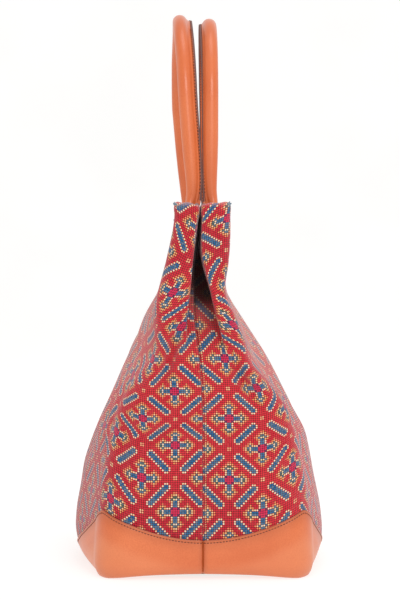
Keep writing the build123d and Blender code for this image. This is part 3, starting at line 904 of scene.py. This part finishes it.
for half in ("front", "back"):
    heights = body_grids[half][0]
    rows = []
    for row in [r for r in range(0, len(heights), LINING_EVERY) if heights[r] < LINING_TOP]:
        z = heights[row]
        side = side_columns(half, row)
        tuck = max(level_value(FRONT_END, 5, z), level_value(BACK_END, 5, z))
        reach = HALF_LENGTH - LINING_DEPTH - max(tuck + LINING_OFF_TUCK, 0.0)
        x = reach * np.sin(np.linspace(pi / 2, -pi / 2, LINING_COLUMNS))
        width = np.interp(x, side[:, 0], np.abs(side[:, 1])) - LINING_DEPTH
        closing = np.sqrt(np.clip(1 - (np.abs(x) / reach) ** LINING_SQUARE, 0, 1))
        y = SIDE[half] * np.maximum(width, 0.4) * closing
        rows.append(np.column_stack([x, y, np.full(LINING_COLUMNS, z)]))
    inner = np.array(rows)
    floor_rows = []
    for pull in (1.0, 0.6, 0.3, 0.12):
        row = inner[0] * (1, 1 - pull, 0)
        row[:, 2] = LINING_FLOOR
        floor_rows.append(row)
    lining = cloth_mesh(half + "_lining_cloth", np.concatenate([np.array(floor_rows), inner]), half)
    apply_modifier(lining, "WELD", merge_threshold=0.00002)
    apply_modifier(lining, "SOLIDIFY", thickness=LINING_THICK * MM, offset=-1)
    lining.data.materials.append(twill.material)
    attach(lining, "bag")
    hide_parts(half + "_lining")

# Slip pocket: one layer of the lining twill, with rounded lower corners and an open top.
# It is sewn on the back lining.
POCKET_HALF, POCKET_LOW, POCKET_TOP, POCKET_CORNER = 85.0, 118.0, 238.0, 14.0
POCKET_DEPTH, POCKET_THICK = 4.6, 0.8


def side_place(half, x, z, depth):
    """Point and outward direction on a side of the bag, at a place along it, a height and a depth."""
    heights, grid = body_grids[half]
    middle = slice(COLUMNS // 5, COLUMNS - COLUMNS // 5)
    above = int(np.clip(np.searchsorted(heights, z), 1, len(heights) - 2))
    spots = []
    for row, shift in ((above - 1, 0.0), (above, 0.0), (above, 2.0)):
        line = grid[row, middle]
        spots.append(at_marks([-x - shift], -line[:, 0], line)[0])
    low, high, beside = spots
    share = (z - heights[above - 1]) / (heights[above] - heights[above - 1])
    spot = low + (high - low) * share
    normal = unit(np.cross(beside - high, high - low))
    if normal[1] * SIDE[half] < 0:
        normal = -normal
    return np.array([x, spot[1], z]) - normal * depth, normal


def patch_grid(half, centre_x, half_width, low, top, corner, depth, steps=24):
    """Grid of a patch on a side, with rounded lower corners."""
    rows = []
    for z in list(np.linspace(low, low + corner, 9)) + list(np.linspace(low + corner, top, steps)[1:]):
        rise = max(0.0, corner - (z - low))
        reach = half_width - corner + (corner**2 - rise**2) ** 0.5
        rows.append([side_place(half, centre_x - reach * a, z, depth)[0] for a in np.linspace(-1, 1, steps)])
    return np.array(rows)


pocket_grid = patch_grid("back", 0.0, POCKET_HALF, POCKET_LOW, POCKET_TOP, POCKET_CORNER, POCKET_DEPTH)
pocket = cloth_mesh("pocket_cloth", pocket_grid, "back")
apply_modifier(pocket, "SOLIDIFY", thickness=POCKET_THICK * MM, offset=-1)
pocket.data.materials.append(twill.material)
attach(pocket, "bag")
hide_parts("inner_pocket")

# Bottom board: stiff fibre board under the lining, its faces a little mottled by the pressing.
# It lies loose on the leather, and keeps the shape it has in the frame.
board = Finish("fibre_board", Roughness=0.85)
fibres = board.noise(160.0, 6.0, (1, 3, 1))
board.set(
    Base_Color=board.mix(fibres.ramp(0.35, 0.65), colour(142, 128, 108), colour(166, 150, 126)),
    Normal=board.bump(fibres, 0.0003, 0.4),
)

# Snap: two turned brass halves set in the linings at the middle of the mouth, lightly tarnished.
# They keep the shape they have in the frame too, and hold the mouth shut.
brass = Finish("snap_brass", Metallic=1.0)
tarnish = brass.noise(240.0, 4.0)
brass.set(
    Base_Color=brass.mix(tarnish.ramp(0.4, 0.7), colour(206, 168, 96), colour(168, 128, 66)),
    Roughness=tarnish.ramp(0.3, 0.75, 0.22, 0.42),
)
for node_name, finish in (("base_board", board), ("snap_socket", brass), ("snap_stud", brass)):
    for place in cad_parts[node_name].material_slots:
        place.material = finish.material

# Handle tabs: four calf patches with rounded lower corners, stitched to the canvas inside their edges.
# Each holds the flat end of a handle.
LEG, TAB_HALF, TAB_TOP, TAB_LOW, TAB_CORNER, TAB_THICK = 75.0, 17.0, 316.0, 260.0, 14.0, 2.2
TAB_STITCH_INSET = 2.6
# How far a tab's face stands off the middle of the canvas's face
TAB_PROUD = 0.3 + TAB_THICK


def tab_stitch_line():
    """Round a tab's sides and lower end, inside its edge, as (along from its middle, height)."""
    inner_half, inner_corner = TAB_HALF - TAB_STITCH_INSET, TAB_CORNER - TAB_STITCH_INSET
    line = [(inner_half, z) for z in np.linspace(TAB_TOP - TAB_STITCH_INSET, TAB_LOW + TAB_CORNER, 20)]
    for angle in np.linspace(0, pi / 2, 10)[1:]:
        along = inner_half - inner_corner * (1 - cos(angle))
        line.append((along, TAB_LOW + TAB_CORNER - inner_corner * sin(angle)))
    return evenly(line + [(-a, z) for a, z in line[::-1]], BASE_STITCH)


for half in ("front", "back"):
    for side, centre_x in (("right", LEG), ("left", -LEG)):
        grid = patch_grid(half, centre_x, TAB_HALF, TAB_LOW, TAB_TOP, TAB_CORNER, -TAB_PROUD)
        tab = cloth_mesh(f"{half}_{side}_tab_leather", grid, half)
        apply_modifier(tab, "SOLIDIFY", thickness=TAB_THICK * MM, offset=-1)
        apply_modifier(tab, "BEVEL", width=0.5 * MM, segments=2, angle_limit=radians(50))
        tab.data.materials.append(calf)
        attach(tab, "bag")
        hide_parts(f"{half}_{side}_tab")
        spots = [side_place(half, centre_x + a, z, -TAB_PROUD) for a, z in tab_stitch_line()]
        places, outs = [np.array(found) for found in zip(*spots)]
        alongs = np.gradient(places, axis=0)
        name = f"{half}_{side}_tab_stitching"
        sewn = stitch_row(name, places, alongs, outs, BASE_STITCH_LENGTH, THREAD_RADIUS)
        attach(sewn, "bag")

# Handles: calf rolled round a cotton cord, its edges sewn flat together as a fin towards the middle,
# and each end flattened to a strap that lies over its tab and is sewn there.
# Heights with the half thickness, the half width and how much of the fin is left.
HANDLE_SECTION = (
    (284.0, 1.1, 9.4, 0.0), (313.0, 1.3, 9.8, 0.0), (319.0, 2.4, 9.0, 0.05), (325.0, 3.6, 6.8, 0.5),
    (328.0, 4.1, 6.1, 1.0), (332.0, 4.7, 5.4, 1.0), (348.0, 5.6, 5.8, 1.0), (366.0, 6.3, 6.4, 1.0),
    (388.0, 6.75, 6.75, 1.0),
)
# Each handle's crown, where it stands from the centre plane by height, near leg and far leg, and how far
# its fin reaches from its middle
HANDLE_SHAPE = {
    "front": (
        504.0,
        ((320, -12.6), (337, -8.6), (350, -8.7), (371, -10.3), (417, -13.9), (477, -17.2), (504, -19.9)),
        ((320, -12.7), (337, -12.6), (350, -13.6), (384, -16.6), (434, -21.0), (477, -21.6), (504, -19.9)),
        ((322, 6.0), (328, 9.6), (336, 9.0), (371, 10.4), (430, 10.8), (504, 11.6)),
    ),
    "back": (
        500.5,
        ((320, 12.5), (337, 8.8), (350, 8.4), (430, 8.6), (477, 8.4), (501, 7.9)),
        ((320, 12.5), (337, 9.4), (350, 8.6), (430, 8.2), (477, 8.0), (501, 7.9)),
        ((322, 5.5), (328, 9.8), (336, 8.0), (371, 7.8), (417, 8.2), (460, 9.0), (501, 9.8)),
    ),
}
STRAP_END, LEG_STATIONS, BEND_STATIONS = 284, 76, 58
# Below the first height a strap lies flat on its tab, and above the second it stands free
STRAP_LAID, STRAP_FREE, TAB_REACH = 310, 320, 314.0
FIN_HALF, FIN_STITCH, HANDLE_STITCH, HANDLE_STITCH_LENGTH, HANDLE_THREAD = 1.55, 2.0, 2.9, 2.0, 0.5
# Points of a ring that lie on the fin's painted edge, and the height in metres where the paint starts
EDGE_PLACES, EDGE_FROM = set(range(4, 15)), 0.33
# The fin is sewn above one height and the cord starts above another, inside a cover of one thickness
SEWN_FROM, CORD_FROM, CORD_STEPS, COVER = 338, 345, 12, 1.9
# Points round the rolled part, the turn in degrees where the fin leaves it, and the strap on its tab
ROUND_STEPS, FIN_TURN, STRAP_PROUD = 30, 27.0, 1.25
calf_roll = leather_finish("tan_calf_roll", 0.34)
cotton = Finish("cotton_cord", Roughness=0.9)
cotton.set(Base_Color=cotton.mix(cotton.noise(500.0), colour(214, 204, 184), colour(232, 224, 206)))


def handle_line(half):
    """Stations of a handle from one strap's end to the other: place, direction and height."""
    crown, near_table, far_table = HANDLE_SHAPE[half][:3]
    bend = crown - LEG
    leg = np.linspace(STRAP_END, bend, LEG_STATIONS)
    turns = np.linspace(0, pi, BEND_STATIONS)[1:-1]
    spots = [(LEG, z) for z in leg] + [(LEG * cos(a), bend + LEG * sin(a)) for a in turns]
    spots = np.array(spots + [(-LEG, z) for z in leg[::-1]])
    across = []
    for x, z in spots:
        near = np.interp(z, *zip(*near_table))
        far = np.interp(z, *zip(*far_table))
        share = 0.5 + 0.5 * x / LEG
        y = far + (near - far) * share
        if z < STRAP_FREE:
            lying = side_place(half, x, min(z, TAB_REACH), -TAB_PROUD - STRAP_PROUD)[0][1]
            y = lying + (y - lying) * max(0.0, (z - STRAP_LAID) / (STRAP_FREE - STRAP_LAID))
        across.append(y)
    return np.column_stack([spots[:, 0], eased(across, 5, 2.2), spots[:, 1]])


def handle_frame(line, half):
    """For each station, the direction of the fin and the direction across it."""
    tangent = unit(np.gradient(line, axis=0))
    to_middle = np.tile([0.0, -SIDE[half], 0.0], (len(line), 1))
    to_middle -= tangent * np.sum(to_middle * tangent, axis=1, keepdims=True)
    return unit(to_middle), np.cross(tangent, unit(to_middle))


for half in ("front", "back"):
    line = handle_line(half)
    to_middle, beside = handle_frame(line, half)
    heights, *sizes = zip(*HANDLE_SECTION)
    reach_heights, reaches = zip(*HANDLE_SHAPE[half][3])
    angles = np.radians(np.linspace(FIN_TURN, 360 - FIN_TURN, ROUND_STEPS))
    rings, core_rings, fin_places = [], [], []
    for place, out, side in zip(line, to_middle, beside):
        z = place[2]
        ra, rb, fin = [np.interp(z, heights, values) for values in sizes]
        reach = np.interp(z, reach_heights, reaches)
        start = ra * cos(radians(FIN_TURN))
        reach = start + (reach - start) * fin + 0.3 * (1 - fin)
        square = 0.5 + 0.5 * np.clip((z - 316) / 14, 0, 1)
        points = [
            (ra * np.sign(cos(a)) * abs(cos(a)) ** square, rb * np.sign(sin(a)) * abs(sin(a)) ** square)
            for a in angles
        ]
        edge_b = rb * sin(radians(FIN_TURN)) ** square
        fin_b = edge_b + (FIN_HALF - edge_b) * fin
        groove = reach - FIN_STITCH
        fin_line = [
            (start + 0.3 * (reach - start), fin_b * (0.82 + 0.18 * (1 - fin)) + 0.35 * fin),
            (start + 0.55 * (reach - start), fin_b),
            (groove - 0.45, fin_b), (groove, fin_b - 0.3 * fin), (groove + 0.45, fin_b),
            (reach - 0.5, fin_b), (reach - 0.12, fin_b - 0.3 * fin), (reach, fin_b * 0.62),
            (reach, 0.22 * fin_b),
        ]
        # where the fin has run out, its points stand in a short even row
        fin_line = [
            (max(a, start) if fin > 0.05 else start + 0.001 * k, b) for k, (a, b) in enumerate(fin_line)
        ]
        ring = [(a, -b) for a, b in fin_line] + [(reach - 0.35 * fin, 0.0)] + fin_line[::-1] + points
        rings.append([place + out * a + side * b for a, b in ring])
        fin_places.append((groove, fin_b - 0.2 * fin))
        if z > CORD_FROM:
            turns = np.linspace(0, 2 * pi, CORD_STEPS + 1)[:-1]
            core_rings.append([place + (out * cos(a) + side * sin(a)) * (ra - COVER) for a in turns])
    faces = tube_faces(len(rings), len(rings[0]))
    handle = new_piece(half + "_handle_leather", rings, faces, turn_outwards=True)
    handle.data.materials.append(calf_roll)
    handle.data.materials.append(raw_edge.material)
    # the fin's raw edge, beyond its stitches, is painted
    for face in handle.data.polygons:
        ring_places = {v % len(rings[0]) for v in face.vertices}
        if len(face.vertices) == 4 and ring_places <= EDGE_PLACES and face.center.z > EDGE_FROM:
            face.material_index = 1
    half + "_handle"
    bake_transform(handle)
    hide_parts(half + "_handle_cover")
    faces = tube_faces(len(core_rings), CORD_STEPS)
    cord = new_piece(half + "_handle_cord", core_rings, faces, turn_outwards=True)
    cord.data.materials.append(cotton.material)
    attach(cord, half + "_handle")
    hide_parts(half + "_handle_core")
    run = run_along(line)
    sewn_run = run[line[:, 2] > SEWN_FROM]
    marks = np.arange(sewn_run[0], sewn_run[-1], HANDLE_STITCH)
    groove, fin_face = np.array(fin_places).T[:, :, None]
    for face_name, face_sign in (("outer", 1), ("inner", -1)):
        seats = line + to_middle * groove + beside * face_sign * fin_face
        places, outs = at_marks(marks, run, seats), at_marks(marks, run, face_sign * beside)
        name = f"{half}_handle_{face_name}_stitching"
        alongs = np.gradient(places, axis=0)
        sewn = stitch_row(name, places, alongs, outs, HANDLE_STITCH_LENGTH, HANDLE_THREAD)
        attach(sewn, half + "_handle")
